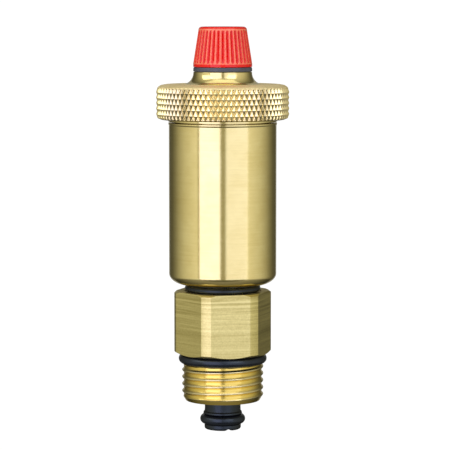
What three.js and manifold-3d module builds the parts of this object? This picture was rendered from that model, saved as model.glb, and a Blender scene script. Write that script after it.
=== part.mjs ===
// Automatic air vent for a heating system, with a screw-in automatic shut-off valve.
//
// Millimetres, +Z up along the vent's own axis. The origin is the middle of the hexagon's
// underside, the shoulder against which the vent is screwed down. Two of the hexagon's flats
// face -Y and +Y. From the bottom up: shut-off valve, float chamber, knurled cover, cap.

import * as THREE from 'three';
import { mergeVertices } from 'three/addons/utils/BufferGeometryUtils.js';
import Module from 'manifold-3d';

const wasm = await Module();
wasm.setup();

// ---- Driving dimensions ------------------------------------------------------------------

const GAP = 0.3; // free space between pieces that screw or drop into each other
const SEAL_GAP = 0.12; // free space round a seal in its groove
const RUNNING = 0.15; // radial clearance of a pin in its hole

const STEPS = 36; // facets round the large turned pieces
const SMALL_STEPS = 20; // facets round the small ones
const SEAL_STEPS = 28; // facets round a seal
const SEAL_SIDES = 6; // sides of a seal's section

// G 1/2 pipe thread, 55 degree form
const PIPE = { crest: 10.4775, root: 9.316, pitch: 1.814, end: -12.1, top: -3.2, crestAt: -3.32 };
const PIPE_CHAMFER = { radial: 0.93, axial: 1.5 };

// Hexagon of the shut-off valve
const HEX = { flats: 22.8, corners: 24.94, top: 16.2 };
const HEX_CHAMFER = { underRadius: 11.4, underRise: 0.62, topRadius: 11.9, topDrop: 0.45 };

// G 3/8 joint between the float chamber and the shut-off valve
const SPIGOT = { radius: 8.0, bore: 5.8, end: 7.0 };
const VALVE_PORT = { radius: 5.3, lip: -9.4, seatChamfer: 0.4 };
const SPRING_ROOM = { radius: 7.6, top: 5.6 };

// Seals: middle radius of the ring, radius of its section, height of its middle
const THREAD_SEAL = { ring: 10.15, section: 1.2, z: -1.32 };
const VENT_SEAL = { ring: 8.9, section: 0.85, z: 16.85 };
const COVER_SEAL = { ring: 12.35, section: 0.72, z: 66.45 };
const SEAT_SEAL = { ring: 4.25, section: 0.5, z: 69.2 };
const PLUNGER_SEAL = { ring: 4.6, section: 1.22, z: -17.05 };

// Plunger of the shut-off valve
const PLUNGER = { bottom: -19.7, foot: 4.7, neck: 4.62, stem: 4.0, wings: 7.2, wingBase: 3.6 };
const PLUNGER_SPRING = { radius: 6.3, wire: 0.4, bottom: -9.05, top: 3.25, turns: 5.5 };

// Float chamber
const CHAMBER = { radius: 13.76, bore: 11.8, bottom: 17.6, corner: 3.8, shoulder: 59.4 };
const CHAMBER_NECK = { radius: 12.9, top: 65.6 };

// Knurled cover with the nozzle that the cap screws onto
const COVER = { radius: 17.0, bottom: 60.2, top: 69.1, bore: 13.2, ceiling: 67.3 };
const COVER_LIP = { radius: 13.95, bottom: 59.7 };
const COVER_NECK = { radius: 7.7, top: 72.3 };
const NOZZLE = { radius: 4.85, top: 80.2, bore: 2.9, roof: 78.4, hole: 1.0 };
const SEAT_POCKET = { radius: 4.9, roof: 71.0 };
const BRACKET_RIM = { inner: 10.2, outer: 11.4, bottom: 64.9 };
const CIRCLIP = { inner: 9.2, outer: 10.6, bottom: 65.55, thickness: 0.5, mouth: 40 };

// Cap and the seal under it
const CAP = { bottom: 73.6, top: 83.8, rim: 7.53, ribTop: 6.2, bore: 5.15, roof: 81.3 };
const CAP_RIBS = { count: 36, depth: 0.35, from: 74.5, to: 82.9 };
const CAP_SEAL = { inner: 5.3, outer: 7.53, bottom: 72.42, top: 73.5 };

// Float, lever and valve pin
const FLOAT = { radius: 10.7, wall: 0.9, bottom: 24.6, top: 56.0, base: 1.1 };
const LEVER = { z: 61.0, pivotX: -6.5, linkX: 6.5, half: 0.6, end: 1.5, bar: 0.8 };
const PIVOT_PIN = 0.6;
const BRACKET = { radius: 10.0, bottom: 66.35, thickness: 0.65, hole: 3.4, ear: 0.8 };
const EARS = { fromY: 1.0, thickness: 1.0, halfWidth: 1.3, top: 62.4 };
const VALVE_SEAT = { radius: 4.6, bottom: 67.45, top: 70.7, hole: 1.35, lip: 2.1 };
const VALVE_PIN = { stem: 0.7, collar: 2.3, collarZ: 74.2, top: 74.9, block: 1.9, blockBottom: 58.9 };
const PAD = { radius: 2.6, bottom: 64.9, thickness: 1.2, hole: 0.85 };
const VALVE_SPRING = { radius: 1.75, wire: 0.2, bottom: 70.95, top: 73.95, turns: 4.5 };
const COIL_FLATNESS = 0.09; // how much flatter a spring's end coils are than its others

// ---- Finishes ----------------------------------------------------------------------------

const finish = (color, roughness, metalness) => new THREE.MeshStandardMaterial({
  color,
  roughness,
  metalness,
});

const BRASS = finish(0xcdb56c, 0.32, 1.0);
const BRASS_HEX = finish(0xc2ab62, 0.45, 1.0);
const RED_PLASTIC = finish(0xd3201c, 0.45, 0.0);
const BLACK_PLASTIC = finish(0x17181c, 0.4, 0.0);
const RUBBER = finish(0x1b1c22, 0.55, 0.0);
const GREY_RUBBER = finish(0x35373f, 0.6, 0.0);
const FLOAT_PLASTIC = finish(0xe6e2d6, 0.5, 0.0);
const STEEL = finish(0xb4b6b8, 0.3, 1.0);

// ---- Geometry helpers --------------------------------------------------------------------

// A clean closed mesh: shared vertices, no empty triangles, faces pointing out.
function closed(source) {
  const bare = source.index ? source.clone() : mergeVertices(source);
  bare.deleteAttribute('normal');
  bare.deleteAttribute('uv');
  const merged = mergeVertices(bare, 1e-4);
  const at = (i) => new THREE.Vector3().fromBufferAttribute(merged.attributes.position, i);
  const faces = [];
  let volume = 0;
  for (let i = 0; i < merged.index.count; i += 3) {
    const [a, b, c] = [0, 1, 2].map((k) => merged.index.getX(i + k));
    if (a === b || b === c || c === a) continue;
    faces.push([a, b, c]);
    volume += at(a).dot(at(b).cross(at(c))) / 6;
  }
  merged.setIndex(faces.flatMap(([a, b, c]) => (volume < 0 ? [a, c, b] : [a, b, c])));
  return merged;
}

function solidOf(geometry) {
  return new wasm.Manifold(new wasm.Mesh({
    numProp: 3,
    vertProperties: new Float32Array(geometry.attributes.position.array),
    triVerts: new Uint32Array(geometry.index.array),
  }));
}

function geometryOf(solid) {
  const mesh = solid.getMesh();
  const geometry = new THREE.BufferGeometry();
  geometry.setAttribute('position', new THREE.BufferAttribute(mesh.vertProperties, 3));
  geometry.setIndex(new THREE.BufferAttribute(mesh.triVerts, 1));
  return geometry;
}

const combined = (how) => (first, ...others) => geometryOf(
  others.reduce((sum, other) => sum[how](solidOf(other)), solidOf(first)),
);
const join = combined('add');
const cut = combined('subtract');
const common = combined('intersect');

// Points of an arc in a [radius, height] outline, angles in degrees from the outward direction.
function arc(r, z, radius, from, to, count = 4) {
  return Array.from({ length: count + 1 }, (_, i) => {
    const angle = THREE.MathUtils.degToRad(from + ((to - from) * i) / count);
    return [r + radius * Math.cos(angle), z + radius * Math.sin(angle)];
  });
}

// A solid of revolution about Z from a closed [radius, height] outline.
function revolve(outline, steps = STEPS) {
  const points = [...outline, outline[0]].map(([r, z]) => new THREE.Vector2(r, z));
  return closed(new THREE.LatheGeometry(points, steps).rotateX(Math.PI / 2));
}

const disc = (radius, bottom, top, steps = SMALL_STEPS) => revolve(
  [[0, bottom], [radius, bottom], [radius, top], [0, top]],
  steps,
);

function sealRing({ ring, section, z }, steps = SEAL_STEPS) {
  return revolve(arc(ring, z, section, 0, 360, SEAL_SIDES).slice(1), steps);
}

function box(width, depth, height, x, y, z) {
  return closed(new THREE.BoxGeometry(width, depth, height).translate(x, y, z));
}

// A round bar along Y, for the pins and for the holes that they pass through.
function crossBar(radius, length, x, z) {
  const bar = new THREE.CylinderGeometry(radius, radius, length, 16);
  return closed(bar.translate(x, 0, z));
}

// The middle line of a compression spring, whose end coils lie flatter than those between.
class Helix extends THREE.Curve {
  constructor({ radius, wire, bottom, top, turns }) {
    super();
    this.radius = radius;
    this.turns = turns;
    this.low = bottom + wire;
    this.rise = top - bottom - 2 * wire;
  }

  getPoint(t) {
    const angle = 2 * Math.PI * this.turns * t;
    const climb = t - COIL_FLATNESS * Math.sin(2 * Math.PI * t);
    return new THREE.Vector3(
      this.radius * Math.cos(angle),
      this.radius * Math.sin(angle),
      this.low + this.rise * climb,
    );
  }
}

function coilSpring(spring, sides = 5, stepsPerTurn = 12) {
  const section = new THREE.Shape(
    Array.from({ length: sides }, (_, i) => new THREE.Vector2(
      spring.wire * Math.cos((2 * Math.PI * i) / sides),
      spring.wire * Math.sin((2 * Math.PI * i) / sides),
    )),
  );
  return closed(new THREE.ExtrudeGeometry(section, {
    steps: Math.round(spring.turns * stepsPerTurn),
    bevelEnabled: false,
    extrudePath: new Helix(spring),
  }));
}

// The cutter for a right-hand V thread: its section climbs one pitch per turn about Z.
function threadCutter({ crest, root, pitch, crestAt }, from, to, stepsPerTurn = 24) {
  const outside = crest + 0.25;
  const halfMouth = 0.5 * pitch * 0.9 * ((outside - root) / (crest - root));
  const halfRoot = 0.07 * pitch;
  const section = [[outside, -halfMouth], [outside, halfMouth], [root, halfRoot], [root, -halfRoot]];
  const start = crestAt + pitch / 2;
  const firstTurn = (from - start) / pitch;
  const turns = (to - from) / pitch;
  const count = Math.round(turns * stepsPerTurn);
  const positions = [];
  for (let i = 0; i <= count; i += 1) {
    const turn = firstTurn + (turns * i) / count;
    const angle = 2 * Math.PI * turn;
    for (const [r, dz] of section) {
      positions.push(r * Math.cos(angle), r * Math.sin(angle), start + pitch * turn + dz);
    }
  }
  const index = [0, 1, 2, 0, 2, 3];
  const end = 4 * count;
  index.push(end, end + 2, end + 1, end, end + 3, end + 2);
  for (let i = 0; i < count; i += 1) {
    for (let k = 0; k < 4; k += 1) {
      const a = 4 * i + k;
      const b = 4 * i + ((k + 1) % 4);
      index.push(a, a + 4, b, b, a + 4, b + 4);
    }
  }
  const geometry = new THREE.BufferGeometry();
  geometry.setAttribute('position', new THREE.Float32BufferAttribute(positions, 3));
  geometry.setIndex(index);
  return closed(geometry);
}

const vent = new THREE.Group();

function place(name, geometry, material) {
  const mesh = new THREE.Mesh(geometry, material);
  mesh.name = name;
  vent.add(mesh);
}

// ---- Shut-off valve ----------------------------------------------------------------------

function hexagonPrism() {
  const shape = new THREE.Shape(
    Array.from({ length: 6 }, (_, i) => {
      const angle = (Math.PI / 3) * i;
      const radius = HEX.flats / 2 / Math.cos(Math.PI / 6);
      return new THREE.Vector2(radius * Math.cos(angle), radius * Math.sin(angle));
    }),
  );
  const prism = new THREE.ExtrudeGeometry(shape, { depth: HEX.top, bevelEnabled: false });
  const turned = revolve([
    [0, 0],
    [HEX_CHAMFER.underRadius, 0],
    [HEX.corners / 2, HEX_CHAMFER.underRise],
    [HEX.corners / 2, HEX.top - HEX_CHAMFER.topDrop],
    [HEX_CHAMFER.topRadius, HEX.top],
    [0, HEX.top],
  ]);
  return common(closed(prism), turned);
}

function checkValveBody() {
  const reliefRadius = THREAD_SEAL.ring - THREAD_SEAL.section - SEAL_GAP;
  const blank = revolve([
    [0, PIPE.end],
    [PIPE.crest - PIPE_CHAMFER.radial, PIPE.end],
    [PIPE.crest, PIPE.end + PIPE_CHAMFER.axial],
    [PIPE.crest, PIPE.top],
    [reliefRadius, PIPE.top + 0.55],
    [reliefRadius, 1],
    [0, 1],
  ]);
  const threaded = cut(blank, threadCutter(PIPE, PIPE.end - 1.2, PIPE.top + 0.9));
  const joint = SPIGOT.radius + GAP;
  const sealRoom = VENT_SEAL.ring + VENT_SEAL.section + SEAL_GAP;
  const inside = revolve([
    [0, PIPE.end - 1],
    [VALVE_PORT.radius + VALVE_PORT.seatChamfer + 1, PIPE.end - 1],
    [VALVE_PORT.radius, PIPE.end + VALVE_PORT.seatChamfer],
    [VALVE_PORT.radius, VALVE_PORT.lip],
    [SPRING_ROOM.radius, VALVE_PORT.lip],
    [SPRING_ROOM.radius, SPRING_ROOM.top],
    [joint, SPRING_ROOM.top + joint - SPRING_ROOM.radius],
    [joint, VENT_SEAL.z - VENT_SEAL.section - SEAL_GAP],
    [sealRoom, VENT_SEAL.z - VENT_SEAL.section - SEAL_GAP],
    [sealRoom, HEX.top + 1],
    [0, HEX.top + 1],
  ]);
  return cut(join(hexagonPrism(), threaded), inside);
}

function plunger() {
  const groove = PLUNGER_SEAL.ring - PLUNGER_SEAL.section - SEAL_GAP / 2;
  const under = PLUNGER_SEAL.z - PLUNGER_SEAL.section - SEAL_GAP / 2;
  const over = PLUNGER_SEAL.z + PLUNGER_SEAL.section + SEAL_GAP / 2;
  const turned = revolve([
    [0, PLUNGER.bottom],
    ...arc(PLUNGER.foot - 1, PLUNGER.bottom + 1, 1, -90, 0, 3),
    [PLUNGER.foot, under],
    [groove, under],
    [groove, over],
    [PLUNGER.neck + 0.4, over],
    [PLUNGER.neck + 0.3, over + 0.4],
    [PLUNGER.neck, over + 1.1],
    [PLUNGER.neck, VALVE_PORT.lip - 0.3],
    [PLUNGER.stem, VALVE_PORT.lip + 0.3],
    [PLUNGER.stem, SPIGOT.end - GAP],
    [0, SPIGOT.end - GAP],
  ], SEAL_STEPS);
  const height = SPIGOT.end - GAP - PLUNGER.wingBase;
  const wings = [0, 1].map((i) => closed(
    new THREE.BoxGeometry(2 * PLUNGER.wings, 1.6, height)
      .rotateZ((Math.PI / 2) * i)
      .translate(0, 0, PLUNGER.wingBase + height / 2),
  ));
  return join(turned, ...wings);
}

place('check_valve_body', checkValveBody(), BRASS_HEX);
place('thread_seal', sealRing(THREAD_SEAL), RUBBER);
place('plunger', plunger(), BLACK_PLASTIC);
place('plunger_seal', sealRing(PLUNGER_SEAL), RUBBER);
place('plunger_spring', coilSpring(PLUNGER_SPRING), STEEL);

// ---- Float chamber -----------------------------------------------------------------------

function floatChamber() {
  const { radius, bore, bottom, corner, shoulder } = CHAMBER;
  const sealRoom = VENT_SEAL.ring + VENT_SEAL.section + SEAL_GAP;
  const sealRoof = VENT_SEAL.z + VENT_SEAL.section + SEAL_GAP;
  const across = (sealRoom - (radius - corner)) / corner;
  const lowest = -THREE.MathUtils.radToDeg(Math.acos(across));
  return revolve([
    [SPIGOT.bore, SPIGOT.end],
    [SPIGOT.radius - 0.5, SPIGOT.end],
    [SPIGOT.radius, SPIGOT.end + 0.5],
    [SPIGOT.radius, sealRoof],
    [sealRoom, sealRoof],
    ...arc(radius - corner, bottom + corner, corner, lowest, 0, 7),
    [radius, shoulder - 0.7],
    [radius + 0.14, shoulder - 0.35],
    [radius + 0.14, shoulder],
    [CHAMBER_NECK.radius, shoulder],
    [CHAMBER_NECK.radius, CHAMBER_NECK.top - 0.4],
    [CHAMBER_NECK.radius - 0.4, CHAMBER_NECK.top],
    [bore, CHAMBER_NECK.top],
    ...arc(bore - 3, bottom + 5.2, 3, 0, -90, 4),
    [SPIGOT.bore, bottom + 1.8],
  ]);
}

place('vent_seal', sealRing(VENT_SEAL), RUBBER);
place('float_chamber', floatChamber(), BRASS);

// ---- Cover -------------------------------------------------------------------------------

function cover() {
  const { radius, bottom, top, bore, ceiling } = COVER;
  const fillet = 1.6;
  const grooveOut = CIRCLIP.outer + 0.1;
  const grooveTop = CIRCLIP.bottom + CIRCLIP.thickness + 0.1;
  return revolve([
    [bore, COVER_LIP.bottom],
    [COVER_LIP.radius, COVER_LIP.bottom],
    [COVER_LIP.radius, bottom],
    ...arc(radius - 1.2, bottom + 1.2, 1.2, -90, 0, 3),
    ...arc(radius - 1.4, top - 1.4, 1.4, 0, 90, 3),
    ...arc(COVER_NECK.radius + fillet, top + fillet, fillet, 270, 180, 3),
    [COVER_NECK.radius, COVER_NECK.top],
    [NOZZLE.radius, COVER_NECK.top],
    [NOZZLE.radius, NOZZLE.top - 0.5],
    [NOZZLE.radius - 0.5, NOZZLE.top],
    [NOZZLE.hole, NOZZLE.top],
    [NOZZLE.hole, NOZZLE.roof],
    [NOZZLE.bore, NOZZLE.roof],
    [NOZZLE.bore, SEAT_POCKET.roof],
    [SEAT_POCKET.radius, SEAT_POCKET.roof],
    [SEAT_POCKET.radius, ceiling],
    [BRACKET_RIM.inner, ceiling],
    [BRACKET_RIM.inner, grooveTop],
    [grooveOut, grooveTop],
    [grooveOut, CIRCLIP.bottom - 0.1],
    [BRACKET_RIM.inner, CIRCLIP.bottom - 0.1],
    [BRACKET_RIM.inner, BRACKET_RIM.bottom],
    [BRACKET_RIM.outer, BRACKET_RIM.bottom],
    [BRACKET_RIM.outer, ceiling],
    [bore, ceiling],
  ]);
}

function valveSeat() {
  const { radius, bottom, top, hole, lip } = VALVE_SEAT;
  const grooveIn = SEAT_SEAL.ring - SEAT_SEAL.section - SEAL_GAP;
  const half = SEAT_SEAL.section + SEAL_GAP;
  return revolve([
    [hole, bottom],
    [lip, bottom],
    [lip + 0.45, bottom + 0.45],
    [radius, bottom + 0.45],
    [radius, SEAT_SEAL.z - half],
    [grooveIn, SEAT_SEAL.z - half],
    [grooveIn, SEAT_SEAL.z + half],
    [radius, SEAT_SEAL.z + half],
    [radius, top],
    [hole, top],
  ], SMALL_STEPS);
}

// A stamped disc with two ears folded down to carry the lever's pivot.
function leverBracket() {
  const roof = BRACKET.bottom + BRACKET.thickness;
  const plate = cut(
    disc(BRACKET.radius, BRACKET.bottom, roof, SEAL_STEPS),
    disc(BRACKET.hole, BRACKET.bottom - 1, roof + 1, SMALL_STEPS),
  );
  const earBottom = LEVER.z - 1.4;
  const earHeight = BRACKET.bottom + 0.1 - earBottom;
  const ears = [-1, 1].map((side) => box(
    3.2,
    BRACKET.ear,
    earHeight,
    LEVER.pivotX,
    side * (LEVER.half + 0.5 + BRACKET.ear / 2),
    earBottom + earHeight / 2,
  ));
  return cut(join(plate, ...ears), crossBar(PIVOT_PIN + RUNNING, 8, LEVER.pivotX, LEVER.z));
}

// An internal circlip: an open ring with an eye at each end of its mouth.
function circlip() {
  const half = THREE.MathUtils.degToRad(CIRCLIP.mouth / 2);
  const ring = new THREE.Shape();
  ring.absarc(0, 0, CIRCLIP.outer, half, 2 * Math.PI - half, false);
  ring.absarc(0, 0, CIRCLIP.inner, 2 * Math.PI - half, half, true);
  ring.closePath();
  const settings = { depth: CIRCLIP.thickness, bevelEnabled: false, curveSegments: 14 };
  const band = closed(new THREE.ExtrudeGeometry(ring, settings).translate(0, 0, CIRCLIP.bottom));
  const eyes = [-1, 1].map((side) => {
    const eye = new THREE.Shape();
    const [x, y] = [Math.cos(half) * 9.1, side * Math.sin(half) * 9.1];
    eye.absarc(x, y, 1.1, 0, 2 * Math.PI, false);
    const hole = new THREE.Path();
    hole.absarc(x, y, 0.5, 0, 2 * Math.PI, true);
    eye.holes.push(hole);
    const flat = { ...settings, curveSegments: 12 };
    return closed(new THREE.ExtrudeGeometry(eye, flat).translate(0, 0, CIRCLIP.bottom));
  });
  return join(band, ...eyes);
}

place('cover_seal', sealRing(COVER_SEAL), RUBBER);
place('cover', cover(), BRASS);
place('valve_seat', valveSeat(), BRASS);
place('seat_seal', sealRing(SEAT_SEAL, SMALL_STEPS), RUBBER);
place('lever_bracket', leverBracket(), STEEL);
place('bracket_circlip', circlip(), STEEL);
place('lever_pivot_pin', crossBar(PIVOT_PIN, 5.2, LEVER.pivotX, LEVER.z), STEEL);

// ---- Cap ---------------------------------------------------------------------------------

// Every second facet edge of the cone is pulled in, which leaves triangular grip ribs.
function cap() {
  const facets = 2 * CAP_RIBS.count;
  const outer = revolve([
    [0, CAP.bottom],
    [CAP.rim, CAP.bottom],
    [CAP.rim, CAP_RIBS.from],
    [CAP.rim, CAP_RIBS.from + 0.3],
    [CAP.ribTop, CAP_RIBS.to],
    [CAP.ribTop - 0.2, CAP_RIBS.to + 0.6],
    [CAP.ribTop - 0.7, CAP.top],
    [0, CAP.top],
  ], facets);
  const position = outer.attributes.position;
  for (let i = 0; i < position.count; i += 1) {
    const radius = Math.hypot(position.getX(i), position.getY(i));
    const turn = Math.atan2(position.getY(i), position.getX(i)) / (2 * Math.PI);
    const facet = Math.round(turn * facets);
    const ribbed = position.getZ(i) > CAP_RIBS.from + 0.1 && position.getZ(i) < CAP_RIBS.to + 0.1;
    if (!ribbed || radius < 1 || facet % 2 === 0) continue;
    const scale = (radius - CAP_RIBS.depth) / radius;
    position.setXY(i, position.getX(i) * scale, position.getY(i) * scale);
  }
  return cut(outer, disc(CAP.bore, CAP.bottom - 1, CAP.roof));
}

function capSeal() {
  const { inner, outer, bottom, top } = CAP_SEAL;
  return revolve([
    [inner, bottom],
    [outer - 0.15, bottom],
    [outer, bottom + 0.15],
    [outer, top - 0.15],
    [outer - 0.15, top],
    [inner, top],
  ], STEPS);
}

place('cap_seal', capSeal(), GREY_RUBBER);
place('cap', cap(), RED_PLASTIC);

// ---- Float, lever and valve pin ----------------------------------------------------------

function floatShell() {
  const { radius, wall, bottom, top, base } = FLOAT;
  const mouth = bottom + base + GAP;
  const shell = revolve([
    [radius - wall, mouth],
    [radius, mouth],
    ...arc(radius - 2, top - 2, 2, 0, 90, 3),
    [0, top],
    [0, top - wall],
    ...arc(radius - 2, top - 2, 2 - wall, 90, 0, 3),
  ], SEAL_STEPS);
  const height = EARS.top - top + 0.3;
  const ears = [-1, 1].map((side) => box(
    2 * EARS.halfWidth,
    EARS.thickness,
    height,
    LEVER.linkX,
    side * (EARS.fromY + EARS.thickness / 2),
    EARS.top - height / 2,
  ));
  return cut(join(shell, ...ears), crossBar(PIVOT_PIN + RUNNING, 6, LEVER.linkX, LEVER.z));
}

function floatBase() {
  const { radius, wall, bottom, base } = FLOAT;
  const plug = radius - wall - GAP;
  return revolve([
    [0, bottom],
    [radius - 0.6, bottom],
    [radius, bottom + 0.6],
    [radius, bottom + base],
    [plug, bottom + base],
    [plug, bottom + base + 1.6],
    [0, bottom + base + 1.6],
  ], SEAL_STEPS);
}

// A flat lever: a bar between two round eyes, the one at the float slotted.
function floatLever() {
  const { z, pivotX, linkX, half, end, bar } = LEVER;
  const outline = new THREE.Shape();
  const neck = Math.asin(bar / end);
  outline.absarc(pivotX, z, end, neck, 2 * Math.PI - neck, false);
  outline.absarc(linkX, z, end, Math.PI + neck, 3 * Math.PI - neck, false);
  outline.closePath();
  const pivot = new THREE.Path();
  pivot.absarc(pivotX, z, PIVOT_PIN + RUNNING, 0, 2 * Math.PI, true);
  const slot = new THREE.Path();
  const hole = PIVOT_PIN + RUNNING;
  slot.absarc(linkX - 0.3, z, hole, 1.5 * Math.PI, 0.5 * Math.PI, true);
  slot.absarc(linkX + 0.3, z, hole, 0.5 * Math.PI, -0.5 * Math.PI, true);
  slot.closePath();
  outline.holes.push(pivot, slot);
  const settings = { depth: 2 * half, bevelEnabled: false, curveSegments: 12 };
  const upright = new THREE.ExtrudeGeometry(outline, settings).rotateX(Math.PI / 2);
  return closed(upright.translate(0, half, 0));
}

// A stem with a spring collar on top and, below the pad, a block that the lever passes through.
function valvePin() {
  const { stem, collar, collarZ, top, block, blockBottom } = VALVE_PIN;
  const blockTop = PAD.bottom - 0.1;
  const turned = revolve([
    [0, blockBottom],
    [block, blockBottom],
    [block, blockTop - 0.7],
    [PAD.radius - 0.2, blockTop - 0.7],
    [PAD.radius - 0.2, blockTop],
    [stem, blockTop],
    [stem, collarZ],
    [collar, collarZ],
    [collar, top - 0.3],
    [collar - 0.3, top],
    [0, top],
  ], SMALL_STEPS);
  return cut(turned, box(6, 2 * (LEVER.half + 0.3), 2.6, 0, 0, LEVER.z));
}

function valvePad() {
  const { radius, bottom, thickness, hole } = PAD;
  return revolve([
    [hole, bottom],
    [radius, bottom],
    [radius, bottom + thickness - 0.2],
    [radius - 0.2, bottom + thickness],
    [hole, bottom + thickness],
  ], SMALL_STEPS);
}

place('float_shell', floatShell(), FLOAT_PLASTIC);
place('float_base', floatBase(), FLOAT_PLASTIC);
place('float_link_pin', crossBar(PIVOT_PIN, 5.0, LEVER.linkX, LEVER.z), STEEL);
place('float_lever', floatLever(), STEEL);
place('valve_pin', valvePin(), BRASS);
place('valve_pad', valvePad(), RUBBER);
place('valve_spring', coilSpring(VALVE_SPRING, 4, 10), STEEL);

export default vent;
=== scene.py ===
import math

import bmesh
import bpy
from mathutils import Matrix, Vector

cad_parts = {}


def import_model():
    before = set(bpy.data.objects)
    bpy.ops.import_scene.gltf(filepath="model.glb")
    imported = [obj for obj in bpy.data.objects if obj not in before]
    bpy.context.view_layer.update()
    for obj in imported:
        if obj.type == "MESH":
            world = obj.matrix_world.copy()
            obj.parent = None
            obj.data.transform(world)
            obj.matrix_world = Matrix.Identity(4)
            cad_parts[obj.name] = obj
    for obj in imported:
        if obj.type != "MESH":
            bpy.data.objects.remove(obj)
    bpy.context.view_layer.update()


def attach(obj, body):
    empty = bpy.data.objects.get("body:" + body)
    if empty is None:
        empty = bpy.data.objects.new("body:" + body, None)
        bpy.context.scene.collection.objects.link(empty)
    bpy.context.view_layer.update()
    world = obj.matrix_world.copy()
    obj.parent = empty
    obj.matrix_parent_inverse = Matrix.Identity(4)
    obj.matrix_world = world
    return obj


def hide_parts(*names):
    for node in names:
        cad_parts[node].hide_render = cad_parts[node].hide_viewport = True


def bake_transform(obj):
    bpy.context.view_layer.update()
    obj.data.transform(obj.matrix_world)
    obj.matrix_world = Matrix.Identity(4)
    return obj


# Automatic air vent with a screw-in shut-off valve. Lengths are in millimetres until mesh_of()
# turns them into metres; z = 0 is the underside of the hexagon, as in the CAD.

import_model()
MM = 0.001
TURN = 2 * math.pi

# ---- Sizes -----------------------------------------------------------------------------------

# They are the CAD's, apart from the pipe thread's root, which the photograph shows shallower.
PIPE = dict(crest=10.4775, root=10.02, pitch=1.814, crest_at=-3.32, end=-12.1)
RELIEF = dict(radius=8.83, low=-2.55)
JOINT_MALE = dict(crest=8.0, root=7.45, pitch=1.337, crest_at=8.6)
JOINT_FEMALE = dict(crest=8.72, root=8.2, pitch=1.337, crest_at=7.9)
NECK_MALE = dict(crest=12.9, root=12.35, pitch=1.5, crest_at=60.4)
NECK_FEMALE = dict(crest=13.62, root=13.1, pitch=1.5, crest_at=60.9)
NOZZLE_MALE = dict(crest=4.85, root=4.4, pitch=1.0, crest_at=73.4)
CAP_FEMALE = dict(crest=5.5, root=5.05, pitch=1.0, crest_at=74.6)
HEX = dict(flats=22.8, corners=24.94, top=16.2, turned_top=11.9, turned_foot=11.4)
SEAT = dict(ring=8.9, recess=9.87)
KNURL = dict(radius=17.0, around=78, rise=2.8, depth=0.5, low=60.2, high=69.1)
RIBS = dict(count=36, depth=0.42, low=74.45, high=82.95, foot=7.53, taper=1.33)

# Share of half a thread's pitch that is flat crest, and that its flank takes.
CREST_SHARE = 0.1
FLANK_SHARE = 0.55

# ---- Meshes ----------------------------------------------------------------------------------


def show(obj):
    bpy.context.scene.collection.objects.link(obj)


def mesh_of(name, points, faces, sharp=35):
    """A smooth-shaded mesh from points in millimetres, welded, with normals out and sharp creases."""
    work = bmesh.new()
    made = [work.verts.new(Vector(p) * MM) for p in points]
    for face in faces:
        work.faces.new([made[i] for i in face])
    bmesh.ops.remove_doubles(work, verts=work.verts, dist=2e-7)
    bmesh.ops.dissolve_degenerate(work, edges=work.edges, dist=1e-8)
    bmesh.ops.recalc_face_normals(work, faces=work.faces)
    mesh = bpy.data.meshes.new(name)
    work.to_mesh(mesh)
    work.free()
    mesh.shade_smooth()
    mesh.set_sharp_from_angle(angle=math.radians(sharp))
    return mesh


def rounded(points, steps=4, hold=0.12):
    """The points of a closed outline of (radius, height, fillet) corners, one held near each fillet."""
    out = []
    count = len(points)
    for i, (r, z, fillet) in enumerate(points):
        here = Vector((r, z))
        before = Vector(points[i - 1][:2]) - here
        after = Vector(points[(i + 1) % count][:2]) - here
        if fillet == 0 or before.length < 1e-6 or after.length < 1e-6:
            out += [here] * (steps + 3 if fillet else 1)
            continue
        half = before.angle(after) / 2
        reach = min(fillet / max(math.tan(half), 0.05), 0.45 * before.length, 0.45 * after.length)
        ends = here + before.normalized() * reach, here + after.normalized() * reach
        held = min(hold, 0.04 * before.length), min(hold, 0.04 * after.length)
        out.append(ends[0] + before.normalized() * held[0])
        for k in range(steps + 1):
            t = k / steps
            out.append(ends[0] * (1 - t) ** 2 + here * 2 * t * (1 - t) + ends[1] * t * t)
        out.append(ends[1] + after.normalized() * held[1])
    return [(max(p[0], 0.0), p[1]) for p in out]


def circle(x, y, radius, start=0.0, end=TURN, count=32):
    """Points of an arc. A full circle leaves out its last point."""
    full = abs(abs(end - start) - TURN) < 1e-9
    last = count if full else count - 1
    angles = [start + (end - start) * i / last for i in range(count)]
    return [(x + radius * math.cos(a), y + radius * math.sin(a)) for a in angles]


def even_angles(steps):
    return [TURN * i / steps for i in range(steps + 1)]


def from_axis(point):
    """How far a point is from the Z axis."""
    return math.hypot(point[0], point[1])


def spun(name, sections, angles, sharp=35, moved=None, creased=0):
    """A closed solid round Z. Each section is (outline at an angle, one in how many columns it uses).
    The first rows, as many as creased, are split along their valleys."""
    columns = []
    last = len(angles) - 1
    for i in range(last + 1):
        column = []
        for outline, every in sections:
            angle = angles[min(round(i / every) * every, last)]
            for r, z in outline(angle):
                point = (r * math.cos(angle), r * math.sin(angle), z)
                column.append(moved(point) if moved else point)
        columns.append(column)
    rows = len(columns[0])
    points = [p for column in columns for p in column]
    faces = []
    for i in range(last):
        for k in range(rows):
            after = (k + 1) % rows
            a, b = i * rows + k, (i + 1) * rows + k
            c, d = (i + 1) * rows + after, i * rows + after
            if k >= creased:
                faces.append((a, b, c, d))
            elif from_axis(points[a]) + from_axis(points[c]) < from_axis(points[b]) + from_axis(points[d]):
                faces += [(a, b, c), (a, c, d)]
            else:
                faces += [(b, c, d), (b, d, a)]
    return mesh_of(name, points, faces, sharp)


def turned(name, corners, steps=96):
    """A plain turned piece from (radius, height, fillet) corners."""
    outline = rounded(corners)
    return spun(name, [(lambda angle: outline, 1)], even_angles(steps))


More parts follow.
